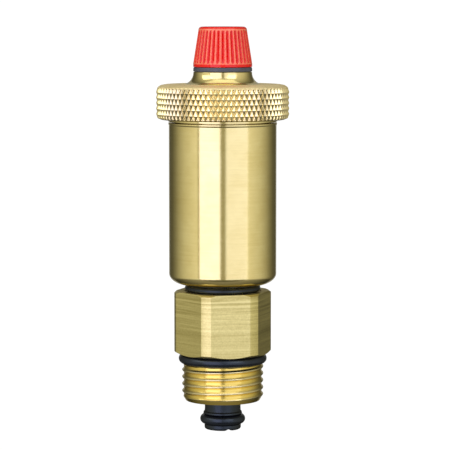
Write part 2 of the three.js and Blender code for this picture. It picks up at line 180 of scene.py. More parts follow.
def thread_radius(thread, z, angle):
    """Radius of a right-hand V thread with rounded crests and roots."""
    phase = (z - thread["crest_at"]) / thread["pitch"] - angle / TURN
    away = abs(phase - round(phase)) * 2
    ramp = min(max((away - CREST_SHARE) / FLANK_SHARE, 0.0), 1.0)
    soft = 0.5 * ramp + 0.5 * ramp * ramp * (3 - 2 * ramp)
    return thread["crest"] + (thread["root"] - thread["crest"]) * soft


def threaded(thread, low, high, limit=None, downwards=False, per_pitch=12):
    """A section of helical rows from low to high. limit(z, radius) trims the thread's radius."""
    pitch = thread["pitch"]
    count = (math.ceil((high - low) / pitch) + 1) * per_pitch
    start = low - pitch - ((low - thread["crest_at"]) % pitch)

    def outline(angle):
        rows = []
        for k in range(count + per_pitch + 1):
            z = start + pitch * (k / per_pitch + angle / TURN)
            z = min(max(z, low), high)
            r = thread_radius(thread, z, angle)
            rows.append((limit(z, r) if limit else r, z))
        return rows[::-1] if downwards else rows

    return outline


def ring(name, middle, section, z, steps=96, sides=24):
    """A rubber ring of round section. Its middle and section are radii."""
    outline = circle(middle, z, section, count=sides)
    return spun(name, [(lambda angle: outline, 1)], even_angles(steps), sharp=60)


def coil(name, radius, wire, low, high, turns, per_turn=36, sides=10):
    """A compression spring with closed end coils, ground flat at both ends."""
    centre_low, centre_high = low + wire, high - wire
    count = round(turns * per_turn)
    points = []
    for i in range(count + 1):
        t = i / count
        angle = TURN * turns * t
        climb = t - 0.09 * math.sin(TURN * t)
        z = centre_low + (centre_high - centre_low) * climb
        for k in range(sides):
            side = TURN * k / sides
            r = radius + wire * math.cos(side)
            height = min(max(z + wire * math.sin(side), low + 0.35 * wire), high - 0.35 * wire)
            points.append((r * math.cos(angle), r * math.sin(angle), height))
    faces = []
    for i in range(count):
        for k in range(sides):
            after = (k + 1) % sides
            a, b = i * sides, (i + 1) * sides
            faces.append((a + k, b + k, b + after, a + after))
    faces.append(tuple(range(sides))[::-1])
    faces.append(tuple(count * sides + k for k in range(sides)))
    return mesh_of(name, points, faces, sharp=50)


def stamped(name, loops, thickness, edge=0.08):
    """The points and faces of a flat plate round z = 0, with soft edges. The first loop is its outside,
    and the others are holes."""
    curve = bpy.data.curves.new(name + "_outline", "CURVE")
    curve.dimensions = "2D"
    curve.fill_mode = "BOTH"
    curve.extrude = (thickness / 2 - edge) * MM
    curve.bevel_depth = edge * MM
    curve.bevel_resolution = 2
    curve.offset = -edge * MM
    for loop in loops:
        spline = curve.splines.new("POLY")
        spline.points.add(len(loop) - 1)
        spline.use_cyclic_u = True
        for point, (x, y) in zip(spline.points, loop):
            point.co = (x * MM, y * MM, 0, 1)
    holder = bpy.data.objects.new(name + "_outline", curve)
    show(holder)
    bpy.context.view_layer.update()
    flat = holder.evaluated_get(bpy.context.evaluated_depsgraph_get()).to_mesh()
    points = [tuple(v.co / MM) for v in flat.vertices]
    faces = [tuple(p.vertices) for p in flat.polygons]
    holder.to_mesh_clear()
    bpy.data.objects.remove(holder)
    bpy.data.curves.remove(curve)
    return points, faces


def upright(points, y=0.0):
    """Turns a plate in XY so that it stands in XZ, with its thickness along Y."""
    return [(p[0], p[2] + y, p[1]) for p in points]


def raised(points, z):
    return [(p[0], p[1], p[2] + z) for p in points]


def merged(parts):
    """Several (points, faces) as one."""
    points, faces = [], []
    for part_points, part_faces in parts:
        start = len(points)
        points += part_points
        faces += [tuple(start + i for i in face) for face in part_faces]
    return points, faces


def rod(radius, low, high, place, steps=28, edge=0.12):
    """A round rod with rounded ends along Y, as (points, faces)."""
    outline = rounded(
        [(0, low, 0), (radius, low, edge), (radius, high, edge), (0, high, 0)], 3
    )
    points, faces = [], []
    for i in range(steps):
        angle = TURN * i / steps
        for r, along in outline:
            points.append((place[0] + r * math.cos(angle), along, place[1] + r * math.sin(angle)))
    rows = len(outline)
    for i in range(steps):
        after = (i + 1) % steps
        for k in range(rows - 1):
            faces.append((i * rows + k, after * rows + k, after * rows + k + 1, i * rows + k + 1))
    return points, faces


# ---- Materials -------------------------------------------------------------------------------


class Nodes:
    """A new material and short ways to add nodes to it."""

    def __init__(self, name):
        self.material = bpy.data.materials.new(name)
        self.material.use_nodes = True
        self.tree = self.material.node_tree
        self.shader = self.tree.nodes["Principled BSDF"]

    def add(self, kind, **settings):
        node = self.tree.nodes.new(kind)
        for key, value in settings.items():
            setattr(node, key, value)
        return node

    def feed(self, value, node, socket):
        """Sets a socket to a number or a colour, or links an output to it."""
        if isinstance(value, (int, float, tuple)):
            node.inputs[socket].default_value = value
        else:
            self.tree.links.new(value, node.inputs[socket])

    def math(self, operation, *values):
        node = self.add("ShaderNodeMath", operation=operation)
        for i, value in enumerate(values):
            self.feed(value, node, i)
        return node.outputs[0]

    def scaled(self, value, factor):
        return self.math("MULTIPLY", value, factor)

    def total(self, a, b):
        return self.math("ADD", a, b)

    def place(self):
        """The point in the part's own coordinates."""
        return self.add("ShaderNodeTexCoord").outputs["Object"]

    def split(self, vector):
        node = self.add("ShaderNodeSeparateXYZ")
        self.feed(vector, node, 0)
        return node.outputs

    def vector(self, *values):
        node = self.add("ShaderNodeCombineXYZ")
        for i, value in enumerate(values):
            self.feed(value, node, i)
        return node.outputs[0]

    def radius(self, x, y):
        """The distance from the Z axis."""
        return self.math("SQRT", self.total(self.math("MULTIPLY", x, x), self.math("MULTIPLY", y, y)))

    def noise(self, vector, scale, detail=4.0, roughness=0.6):
        node = self.add("ShaderNodeTexNoise")
        self.feed(vector, node, "Vector")
        self.feed(scale, node, "Scale")
        self.feed(detail, node, "Detail")
        self.feed(roughness, node, "Roughness")
        return node.outputs["Fac"]

    def ranged(self, value, low, high, from_low=0.3, from_high=0.7):
        node = self.add("ShaderNodeMapRange")
        self.feed(value, node, "Value")
        self.feed(from_low, node, "From Min")
        self.feed(from_high, node, "From Max")
        self.feed(low, node, "To Min")
        self.feed(high, node, "To Max")
        return node.outputs["Result"]

    def ramp(self, value, dark_at, dark, light_at, light):
        """A base colour that goes from dark to light as the value rises."""
        node = self.add("ShaderNodeValToRGB")
        self.feed(value, node, "Fac")
        for element, at, colour in zip(node.color_ramp.elements, (dark_at, light_at), (dark, light)):
            element.position = at
            element.color = (*colour, 1)
        self.feed(node.outputs["Color"], self.shader, "Base Color")

    def paint_groove_shade(self, unshaded, tint):
        """Blends the base colour towards the tint where the mask is under 1: painted shade in the grooves.
        """
        socket = self.shader.inputs["Base Color"]
        colour = socket.links[0].from_socket
        mix = self.add("ShaderNodeMix", data_type="RGBA")
        # A colour mix takes its share at input 0 and its two colours at inputs 6 and 7.
        self.feed(unshaded, mix, 0)
        self.feed((*tint, 1), mix, 6)
        self.feed(colour, mix, 7)
        self.feed(mix.outputs[2], self.shader, "Base Color")

    def bump(self, height, distance, strength):
        node = self.add("ShaderNodeBump")
        self.feed(distance, node, "Distance")
        self.feed(strength, node, "Strength")
        self.feed(height, node, "Height")
        return node.outputs["Normal"]

    def finish(self, **sockets):
        """Sets the shader's sockets by their names in lower case, and returns the material."""
        for key, value in sockets.items():
            name = key.replace("_", " ").title().replace("Ior", "IOR")
            self.feed(value, self.shader, name)
        return self.material


def turned_brass(name, dark, light, roughness, grain=0.5, anisotropic=0.6, grooves=None):
    """Machined brass: fine lathe lines round Z, faint tarnish clouds and a slightly uneven polish.
    With grooves = (bottom, top, colour), the colour is painted as shade where the radius is near the
    bottom."""
    m = Nodes(name)
    place = m.place()
    x, y, z = m.split(place)
    radius = m.radius(x, y)
    lathe = m.vector(m.scaled(radius, 60.0), m.scaled(x, 1.2), m.scaled(z, 60.0))
    lines = m.noise(lathe, 90.0, detail=3.0, roughness=0.7)
    clouds = m.noise(place, 120.0, detail=3.0)
    m.ramp(m.total(m.scaled(clouds, 0.6), m.scaled(lines, 0.4)), 0.35, dark, 0.62, light)
    if grooves:
        bottom, top, colour = grooves
        # Painted shade: the base colour turns to the groove colour towards the grooves' bottom.
        m.paint_groove_shade(m.ranged(radius, 0.0, 1.0, bottom * MM, top * MM), colour)
    tangent = m.add("ShaderNodeTangent", direction_type="RADIAL", axis="Z")
    return m.finish(
        metallic=1.0,
        roughness=m.ranged(lines, roughness - 0.03, roughness + 0.04),
        anisotropic=anisotropic,
        anisotropic_rotation=0.25,
        tangent=tangent.outputs[0],
        normal=m.bump(lines, 0.00002, grain),
    )


def milled_brass(name, dark, light, roughness):
    """Brass with the fine sideways lines of a milling cutter, deeper towards the hexagon's top."""
    m = Nodes(name)
    place = m.place()
    x, y, z = m.split(place)
    fine = m.vector(m.scaled(x, 0.9), m.scaled(y, 0.9), m.scaled(z, 40.0))
    broad = m.vector(m.scaled(x, 0.2), m.scaled(y, 0.2), m.scaled(z, 8.0))
    lines = m.noise(fine, 55.0, detail=3.0, roughness=0.6)
    bands = m.noise(broad, 30.0, detail=2.0)
    grain = m.noise(place, 2600.0, detail=2.0)
    deep = m.ranged(z, 0.35, 0.75, 0.006, 0.012)
    mixed = m.total(m.math("MULTIPLY", m.math("SUBTRACT", lines, 0.5), deep), 0.275)
    mixed = m.total(mixed, m.scaled(bands, 0.25))
    mixed = m.total(mixed, m.scaled(grain, 0.2))
    m.ramp(mixed, 0.38, dark, 0.6, light)
    return m.finish(
        metallic=1.0,
        roughness=m.ranged(bands, roughness - 0.05, roughness + 0.06),
        normal=m.bump(mixed, 0.00012, 0.55),
    )


def rubber(name, dark, light, roughness, shine=0.4, tint=(1.0, 1.0, 1.0)):
    """Moulded rubber: a fine matt grain and a faint bloom."""
    m = Nodes(name)
    place = m.place()
    grain = m.noise(place, 3500.0, detail=2.0)
    bloom = m.noise(place, 300.0, detail=4.0)
    m.ramp(bloom, 0.35, dark, 0.7, light)
    return m.finish(
        roughness=m.ranged(bloom, roughness - 0.05, roughness + 0.08),
        specular_ior_level=shine,
        specular_tint=(*tint, 1),
        normal=m.bump(grain, 0.00003, 0.5),
    )


def plastic(name, dark, light, roughness, grain, scatter=0.0, shine=0.5, tint=(1.0, 1.0, 1.0)):
    """Moulded plastic with a fine spark-eroded grain."""
    m = Nodes(name)
    place = m.place()
    fine = m.noise(place, 2800.0, detail=3.0)
    cloud = m.noise(place, 220.0, detail=3.0)
    m.ramp(cloud, 0.35, dark, 0.68, light)
    return m.finish(
        roughness=m.ranged(fine, roughness - 0.05, roughness + 0.07),
        specular_ior_level=shine,
        specular_tint=(*tint, 1),
        subsurface_weight=scatter,
        subsurface_radius=(1.0, 0.25, 0.15),
        subsurface_scale=0.0006,
        normal=m.bump(fine, 0.00004, grain),
    )


def ribbed_plastic(name, valley, top, roughness):
    """The cap's moulded plastic, with a painted highlight: paler on the ribs than in the valleys."""
    m = Nodes(name)
    place = m.place()
    x, y, z = m.split(place)
    slope = RIBS["taper"] / (RIBS["high"] - RIBS["low"])
    cone = m.total(m.radius(x, y), m.scaled(z, slope))
    rib_top = (RIBS["foot"] + RIBS["low"] * slope) * MM
    fine = m.noise(place, 2800.0, detail=3.0)
    # Painted highlight: the base colour pales towards the rib tops.
    painted_rib_highlight = m.ranged(cone, 0.0, 0.9, rib_top - RIBS["depth"] * MM, rib_top)
    m.ramp(m.total(painted_rib_highlight, m.scaled(fine, 0.2)), 0.92, valley, 1.05, top)
    return m.finish(
        roughness=m.ranged(fine, roughness - 0.04, roughness + 0.06),
        specular_ior_level=0.45,
        normal=m.bump(fine, 0.00004, 0.1),
    )


def steel(name, dark, light, roughness):
    """Drawn or stamped stainless steel with fine directionless scratches."""
    m = Nodes(name)
    x, y, z = m.split(m.place())
    streaks = m.noise(m.vector(m.scaled(x, 6.0), y, m.scaled(z, 2.0)), 700.0)
    m.ramp(streaks, 0.3, dark, 0.7, light)
    return m.finish(
        metallic=1.0,
        roughness=m.ranged(streaks, roughness - 0.04, roughness + 0.08),
        normal=m.bump(streaks, 0.00001, 0.4),
    )


# Painted shade near the bottom of the knurl's grooves, and a painted deeper gold of shade and
# inter-reflection in the pipe thread's roots: from, to, colour.
KNURL_GROOVE_SHADE = (KNURL["radius"] - 0.51, KNURL["radius"] - 0.34, (0.58, 0.44, 0.18))
# Painted shade and inter-reflection: a deeper, more saturated gold towards the thread's roots.
THREAD_ROOT_SHADE = (PIPE["root"], 10.4, (0.86, 0.64, 0.15))
# The tint of what the black pieces mirror.
COOL = (0.72, 0.88, 1.0)

BRASS = turned_brass("brass_body", (0.82, 0.67, 0.27), (0.92, 0.78, 0.36), 0.13)
BRASS_KNURL = turned_brass(
    "brass_knurl", (0.84, 0.70, 0.34), (0.94, 0.82, 0.47), 0.16, 0.2, 0.0, KNURL_GROOVE_SHADE
)
BRASS_TOP = turned_brass("brass_top", (0.80, 0.67, 0.33), (0.91, 0.79, 0.45), 0.62, 0.4, 0.0)
BRASS_THREAD = turned_brass("brass_thread", (0.84, 0.69, 0.27), (0.94, 0.79, 0.38), 0.18, 0.3, 0.0)
BRASS_PIPE_THREAD = turned_brass(
    "brass_pipe_thread", (0.84, 0.70, 0.32), (0.94, 0.81, 0.45), 0.18, 0.3, 0.0, THREAD_ROOT_SHADE
)
BRASS_MILLED = milled_brass("brass_milled", (0.55, 0.46, 0.155), (0.86, 0.75, 0.31), 0.34)
# The second colour is the painted highlight on the rib tops.
RED = ribbed_plastic("red_plastic", (0.74, 0.004, 0.0), (0.93, 0.21, 0.105), 0.12)
BLACK = plastic(
    "black_plastic", (0.003, 0.003, 0.004), (0.006, 0.006, 0.008), 0.34, 0.2, shine=0.6, tint=COOL
)
RUBBER = rubber("black_rubber", (0.003, 0.0035, 0.006), (0.006, 0.007, 0.012), 0.28, 0.6, COOL)
GREY_RUBBER = rubber("grey_rubber", (0.055, 0.06, 0.075), (0.085, 0.09, 0.11), 0.42)
FLOAT_PLASTIC = plastic("float_plastic", (0.74, 0.71, 0.62), (0.84, 0.82, 0.75), 0.4, 0.25, 0.1)
STEEL = steel("stainless_steel", (0.50, 0.50, 0.50), (0.64, 0.64, 0.63), 0.24)
FLOOR = rubber("floor_paper", (0.80, 0.80, 0.80), (0.82, 0.82, 0.82), 0.85)


def piece(node, mesh, slot, body, *materials):
    """A finished piece that replaces a CAD node and rides on its body. A spring's body is instead
    (first body, second body, its end on the first, its end on the second); only its being a tuple is used,
    and the spring is left where it is made, on no body."""
    made = bpy.data.objects.new(node + "_look", mesh)
    show(made)
    for material in materials:
        mesh.materials.append(material)
    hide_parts(node)
    if isinstance(body, tuple):
        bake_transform(made)
    else:
        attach(made, body)


def repaint(mesh, choose):
    """Gives each face the material index that choose(radius, height) returns, in millimetres."""
    for face in mesh.polygons:
        centre = face.center / MM
        face.material_index = choose(from_axis(centre), centre.z)


# ---- Shut-off valve --------------------------------------------------------------------------


def hexagon_angles():
    """Columns for the hexagon, close together where a flat meets the turned corner."""
    edge = math.degrees(math.acos(HEX["flats"] / HEX["corners"]))
    local = {-30.0, -28.0, -26.0, 26.0, 28.0}
    for side in (-1, 1):
        local |= {side * (edge + d) for d in (-0.5, 0.0, 0.5)}
    local |= {2.0 * i for i in range(-11, 12)}
    angles = sorted((30 + 60 * flat + a) % 360 for flat in range(6) for a in local)
    return [math.radians(a) for a in angles] + [math.radians(angles[0]) + TURN]


def hexagon_radius(angle):
    flat = math.radians(60)
    local = angle % flat - flat / 2
    return min(HEX["flats"] / 2 / math.cos(local), HEX["corners"] / 2)


def hexagon_outside(angle):
    """The hexagon's top, chamfers and side at one angle, from the seal's room to the thread relief."""
    r = hexagon_radius(angle)
    corner = HEX["corners"] / 2
    top = HEX["top"]
    edge = 0.06
    knee = min(HEX["turned_top"], r - edge)
    past_knee = max(r - HEX["turned_top"] - edge, 0.0) / (corner - HEX["turned_top"] - edge)
    upper = top - 0.07 - 0.38 * past_knee
    lower = 0.62 * max(r - HEX["turned_foot"], 0.0) / (corner - HEX["turned_foot"])
    return rounded(
        [
            (SEAT["recess"], 15.88, 0.0),
            (SEAT["recess"], top, 0.12),
            (knee, top, 0.03),
            (r, upper, 0.03),
            (r, lower, 0.08),
            (11.28, 0.0, 0.08),
            (RELIEF["radius"], 0.0, 0.15),
            (RELIEF["radius"], RELIEF["low"], 0.0),
        ],
        3,
        0.1,
    )


def pipe_limit(z, r):
    """Ends the pipe thread in the relief under the hexagon and in the chamfer at its lower end."""
    into_relief = 9.9 + (RELIEF["low"] - z) * 1.4
    end_chamfer = 9.55 + (z - PIPE["end"]) * 0.62
    return max(min(r, into_relief, end_chamfer), RELIEF["radius"])


def valve_body():
    end = PIPE["end"]
    inside_low = rounded(
        [(9.0, end, 0.0), (5.7, end, 0.1), (5.3, -11.7, 0.1), (5.3, -9.4, 0.1),
         (7.6, -9.4, 0.2), (7.6, 5.6, 0.1), (8.72, 6.6, 0.0)]
    )
    inside_high = rounded([(8.72, 15.2, 0.0), (8.9, 15.88, 0.1), (SEAT["recess"], 15.88, 0.0)])
    sections = [
        (hexagon_outside, 1),
        (threaded(PIPE, end, RELIEF["low"] - 0.05, pipe_limit, downwards=True), 1),
        (lambda angle: inside_low[1:-1], 1),
        (threaded(JOINT_FEMALE, 6.6, 15.2), 1),
        (lambda angle: inside_high[:-1], 1),
    ]
    mesh = spun("check_valve_body", sections, hexagon_angles(), sharp=22)

    def finish_of(r, z):
        """Pipe thread, other turned faces or milled hexagon, in the order of the piece's materials."""
        if z < -2.5 and r > 9.3:
            return 2
        return 1 if z < -0.05 or r < 9.7 else 0

    repaint(mesh, finish_of)
    return mesh


piece(
    "check_valve_body", valve_body(), "brass_milled", "check_valve",
    BRASS_MILLED, BRASS_THREAD, BRASS_PIPE_THREAD,
)
piece("thread_seal", ring("thread_seal", 10.15, 1.2, -1.32), "black_rubber", "check_valve", RUBBER)
piece("plunger_seal", ring("plunger_seal", 4.6, 1.22, -17.05, 72), "black_rubber", "plunger", RUBBER)


def plunger_mesh():
    corners = [
        (0, -19.6, 0), (1.2, -19.7, 0), (2.4, -19.7, 0), (4.7, -19.7, 0.9), (4.7, -18.4, 0.2),
        (4.5, -18.33, 0.05), (3.32, -18.33, 0.05), (3.32, -15.77, 0.05), (4.7, -15.77, 0.1),
        (5.02, -15.6, 0.12), (4.92, -15.2, 0.1), (4.66, -14.9, 0.3), (4.62, -14.2, 0.2),
        (4.62, -9.7, 0.2), (4.0, -9.1, 0.2), (4.0, 6.7, 0.3), (0, 6.7, 0),
    ]

    def slotted(point):
        """Sinks a shallow slot into the foot, facing as the hexagon does."""
        x, y, z = point
        slot_top, slot_turn = -19.0, math.radians(10)
        if z > slot_top:
            return point
        across = x * math.cos(slot_turn) + y * math.sin(slot_turn)
        depth = 0.38 * math.exp(-((across / 0.55) ** 2)) * min(1.0, (slot_top - z) / 0.4)
        return (x, y, z + depth)

    outline = rounded(corners)
    return spun("plunger", [(lambda angle: outline, 1)], even_angles(96), 35, slotted)


def plunger_wings():
    """The cross of guide wings at the plunger's top."""
    parts = []
    half, reach, low, high = 0.8, 7.2, 3.6, 6.7
    for quarter in range(4):
        turn = math.pi / 2 * quarter
        loop = [(3.5, -half), (reach - 0.25, -half), (reach, -half + 0.25)]
        loop += [(reach, half - 0.25), (reach - 0.25, half), (3.5, half)]
        points, faces = stamped("wing", [loop], high - low, 0.15)
        to_place = Matrix.Translation((0, 0, (low + high) / 2)) @ Matrix.Rotation(turn, 4, "Z")
        parts.append(([tuple(to_place @ Vector(p)) for p in points], faces))
    return parts


def with_parts(mesh, parts, sharp=35):
    """A mesh with more closed parts sunk into it, as one mesh."""
    points = [tuple(v.co / MM) for v in mesh.vertices]
    faces = [tuple(p.vertices) for p in mesh.polygons]
    name = mesh.name
    bpy.data.meshes.remove(mesh)
    return mesh_of(name, *merged([(points, faces), *parts]), sharp)


piece("plunger", with_parts(plunger_mesh(), plunger_wings()), "black_plastic", "plunger", BLACK)
piece(
    "plunger_spring",
    coil("plunger_spring", 6.3, 0.4, -9.05, 3.25, 5.5),
    "stainless_steel",
    ("check_valve", "plunger", (0, 0, -9.05 * MM), (0, 0, 3.25 * MM)),
    STEEL,
)

# ---- Float chamber ---------------------------------------------------------------------------


def chamber_mesh():
    quarter = circle(0, 0, 1, math.radians(-82), 0.0, 11)
    belly = [(9.36 + 4.4 * across, 20.7 + 2.8 * along) for across, along in quarter]
    up = rounded(
        [(13.76, 20.7, 0.0), (13.76, 58.7, 0.15), (13.9, 59.05, 0.1), (13.9, 59.4, 0.12),
         (12.2, 59.4, 0.1), (12.2, 60.0, 0.1), (12.4, 60.1, 0.0)]
    )
    inside = rounded(
        [(12.2, 65.6, 0.15), (11.8, 65.6, 0.15), (11.8, 22.4, 0.0), (11.8, 22.2, 0.0),
         (9.6, 19.8, 1.2), (5.8, 19.4, 0.3), (5.8, 7.0, 0.2), (7.45, 7.0, 0.2)]
    )
    root = rounded([(7.6, 16.2, 0.1), (7.6, 17.85, 0.1), (9.6, 17.87, 0.1)])

    def neck_end(z, r):
        return min(r, 12.45 + (65.6 - z) * 1.0)

    def spigot_end(z, r):
        return min(r, 7.5 + (z - 7.0) * 1.0)

    sections = [
        (lambda angle: belly, 1),
        (lambda angle: up[1:-1], 1),
        (threaded(NECK_MALE, 60.1, 65.5, neck_end), 1),
        (lambda angle: inside[:-2], 1),
        (threaded(JOINT_MALE, 7.05, 16.2, spigot_end), 1),
        (lambda angle: root, 1),
    ]
    mesh = spun("float_chamber", sections, even_angles(144), sharp=30)
    # The chamber's outside is polished. The threads and the inside take the second material.
    repaint(mesh, lambda r, z: 0 if r > 10.5 and z < 59.5 else 1)
    return mesh


piece("vent_seal", ring("vent_seal", SEAT["ring"], 0.85, 16.85), "black_rubber", "vent_seal", RUBBER)
piece("float_chamber", chamber_mesh(), "brass_turned", "vent", BRASS, BRASS_THREAD)

# ---- Cover -----------------------------------------------------------------------------------


def triangle(value):
    """1 at whole numbers, 0 halfway between."""
    return abs(2 * (value - math.floor(value)) - 1)


KNURL_STEP = KNURL["rise"] / 8
KNURL_ROWS = math.ceil((KNURL["high"] - KNURL["low"]) / KNURL_STEP) + 1


def knurl_depth(angle, z):
    """How far the diamond knurl is cut in, from 0 on a diamond's point to its depth in a groove."""
    around = angle / TURN * KNURL["around"]
    along = (z - KNURL["low"]) / KNURL["rise"]
    groove = max(triangle(around + along), triangle(around - along))
    return KNURL["depth"] * groove


def knurled(angle):
    """The knurled rim at one angle, from its rounded lower edge up to the shoulder of the cover's top."""
    rows = []
    low, high, radius = KNURL["low"], KNURL["high"], KNURL["radius"]
    edge, shoulder_in, shoulder_down = 1.2, 2.0, 1.8
    for k in range(KNURL_ROWS):
        z = min(low + KNURL_STEP * k, high)
        under, over = max(low + edge - z, 0.0), max(z - high + shoulder_down, 0.0)
        lower_edge = radius - edge + math.sqrt(max(edge**2 - under**2, 0.0))
        shoulder = radius - shoulder_in * (1 - math.sqrt(max(1 - (over / shoulder_down) ** 2, 0.0)))
        rows.append((min(lower_edge, shoulder, radius - knurl_depth(angle, z)), z))
    return rows


def cover_mesh():
    fillet = circle(10.5, 72.1, 3.0, math.radians(270), math.radians(182), 11)
    neck = rounded([(7.5, 72.0, 0.0), (7.48, 72.3, 0.1), (4.4, 72.3, 0.1), (4.4, 72.8, 0.0)])
    inside = rounded(
        [(4.3, 80.2, 0.1), (1.0, 80.2, 0.15), (1.0, 78.4, 0.1), (2.9, 78.4, 0.1), (2.9, 71.0, 0.1),
         (4.9, 71.0, 0.1), (4.9, 67.3, 0.1), (10.2, 67.3, 0.1), (10.2, 66.15, 0.05), (10.7, 66.15, 0.05),
         (10.7, 65.45, 0.05), (10.2, 65.45, 0.05), (10.2, 64.9, 0.1), (11.4, 64.9, 0.1),
         (11.4, 67.3, 0.1), (13.2, 67.3, 0.1), (13.2, 66.2, 0.0), (13.62, 65.9, 0.0)]
    )
    lip = rounded([(13.2, 59.7, 0.05), (13.95, 59.7, 0.08), (13.95, 60.2, 0.0), (15.4, 60.2, 0.0)])

    def nozzle_end(z, r):
        return min(r, 4.3 + (80.2 - z) * 1.0)

    sections = [
        (knurled, 1),
        (lambda angle: fillet, 4),
        (lambda angle: neck[1:-1], 4),
        (threaded(NOZZLE_MALE, 72.8, 80.15, nozzle_end, per_pitch=8), 8),
        (lambda angle: inside[1:-1], 8),
        (threaded(NECK_FEMALE, 59.9, 66.0, downwards=True, per_pitch=8), 8),
        (lambda angle: lip[1:-1], 4),
    ]
    mesh = spun("cover", sections, even_angles(KNURL["around"] * 8), 24, None, KNURL_ROWS)

    def finish_of(r, z):
        """Knurl, matt top, polished neck and lip, or threads and inside."""
        if r > 14.2 and z < 68.3:
            return 1
        if z > 68.2 and r > 9.8:
            return 3
        if r > 5.2 and z > 67.4:
            return 0
        return 0 if z < 60.3 and r > 13.5 else 2

    repaint(mesh, finish_of)
    return mesh


piece("cover_seal", ring("cover_seal", 12.35, 0.72, 66.45), "black_rubber", "cover_seal", RUBBER)
piece("cover", cover_mesh(), "brass_turned", "cover", BRASS, BRASS_KNURL, BRASS_THREAD, BRASS_TOP)
piece(
    "valve_seat",
    turned(
        "valve_seat",
        [(1.35, 67.45, 0.15), (2.1, 67.45, 0.15), (2.55, 67.9, 0.1), (4.6, 67.9, 0.12),
         (4.6, 68.58, 0.06), (3.63, 68.58, 0.06), (3.63, 69.82, 0.06), (4.6, 69.82, 0.06),
         (4.6, 70.7, 0.12), (1.35, 70.7, 0.15)],
        72,
    ),
    "brass_turned",
    "cover",
    BRASS,
)
piece("seat_seal", ring("seat_seal", 4.25, 0.5, 69.2, 64, 16), "black_rubber", "cover", RUBBER)


def bracket_mesh():
    """The stamped disc with two ears, folded down, that carry the lever's pivot."""
    plate = stamped("disc", [circle(0, 0, 10.0, count=96), circle(0, 0, 3.4, count=48)], 0.65, 0.1)
    parts = [(raised(plate[0], 66.675), plate[1])]
    for side in (-1, 1):
        loop = [(-8.1, 66.45), (-8.1, 61.0)]
        loop += circle(-6.5, 61.2, 1.6, math.pi, TURN, 20)
        loop += [(-4.9, 61.4), (-4.9, 66.45)]
        ear = stamped("ear", [loop, circle(-6.5, 61.0, 0.75, count=28)], 0.8, 0.08)
        parts.append((upright(ear[0], side * 1.5), ear[1]))
    return mesh_of("lever_bracket", *merged(parts), 35)


def circlip_mesh():
    """An internal circlip that narrows towards its mouth, with an eye at each end."""
    half = math.radians(20)
    outer = circle(0, 0, 10.6, half * 0.82, TURN - half * 0.82, 96)
    inner = []
    for i in range(97):
        angle = TURN - half - (TURN - 2 * half) * i / 96
        width = 1.05 + 0.5 * (1 - math.cos(angle)) / 2
        inner.append(((10.6 - width) * math.cos(angle), (10.6 - width) * math.sin(angle)))
    band = stamped("band", [outer + inner], 0.5, 0.06)
    parts = [(raised(band[0], 65.8), band[1])]
    for side in (-1, 1):
        x, y = 9.1 * math.cos(half), side * 9.1 * math.sin(half)
        eye = stamped("eye", [circle(x, y, 1.15, count=32), circle(x, y, 0.5, count=24)], 0.5, 0.06)
        parts.append((raised(eye[0], 65.8), eye[1]))
    return mesh_of("bracket_circlip", *merged(parts), 35)


piece("lever_bracket", bracket_mesh(), "stainless_steel", "cover", STEEL)
piece("bracket_circlip", circlip_mesh(), "stainless_steel", "cover", STEEL)
piece(
    "lever_pivot_pin",
    mesh_of("lever_pivot_pin", *rod(0.6, -2.6, 2.6, (-6.5, 61.0))),
    "stainless_steel",
    "cover",
    STEEL,
)
piece(
    "valve_spring",
    coil("valve_spring", 1.75, 0.2, 70.95, 73.95, 4.5, sides=8),
    "stainless_steel",
    ("cover", "valve_pin", (0, 0, 70.95 * MM), (0, 0, 73.95 * MM)),
    STEEL,
)

# ---- Cap -------------------------------------------------------------------------------------


def rib(angle):
    """Height of the rounded grip ribs at one angle, from 0 in a valley to 1 on a rib."""
    across = angle / TURN * RIBS["count"] % 1.0 * 2 - 1
    return math.sqrt(1 - (0.96 * across) ** 2)


def cap_outside(angle):
    """The ribbed cone at one angle, from the rim to the top."""
    foot, low, high = RIBS["foot"], RIBS["low"], RIBS["high"]
    rows = rounded([(7.3, 73.6, 0.0), (foot, 73.6, 0.12), (foot, low, 0.0)])[1:-1]
    steps = 14
    for k in range(steps + 1):
        t = k / steps
        ends = min(t / 0.045, (1 - t) / 0.05, 1.0)
        cut = RIBS["depth"] * (1 - rib(angle)) * ends
        rows.append((foot - RIBS["taper"] * t - cut, low + (high - low) * t))
    fillet = 0.85
    rows += circle(foot - RIBS["taper"] - fillet, high, fillet, 0.0, math.pi / 2, 6)[1:]
    rows += [(4.4, 83.8), (3.0, 83.78), (1.5, 83.76), (0.0, 83.75)]
    return rows


def cap_mesh():
    roof = [(0.0, 81.3), (3.0, 81.3), (4.9, 81.3), (5.05, 81.15), (5.1, 80.9)]
    mouth = [(5.5, 74.1), (5.6, 73.7), (5.7, 73.6), (6.6, 73.6)]
    sections = [
        (cap_outside, 1),
        (lambda angle: roof, 6),
        (threaded(CAP_FEMALE, 74.1, 80.9, downwards=True, per_pitch=8), 6),
        (lambda angle: mouth, 6),
    ]
    return spun("cap", sections, even_angles(RIBS["count"] * 12), sharp=38)


piece(
    "cap_seal",
    turned(
        "cap_seal",
        [(5.3, 72.42, 0.1), (7.4, 72.42, 0.1), (7.53, 72.6, 0.1), (7.5, 73.2, 0.1), (7.4, 73.5, 0.12),
         (5.3, 73.5, 0.1)],
        96,
    ),
    "grey_rubber",
    "cap_seal",
    GREY_RUBBER,
)
piece("cap", cap_mesh(), "red_plastic", "cap", RED)

# ---- Float, lever and valve pin --------------------------------------------------------------


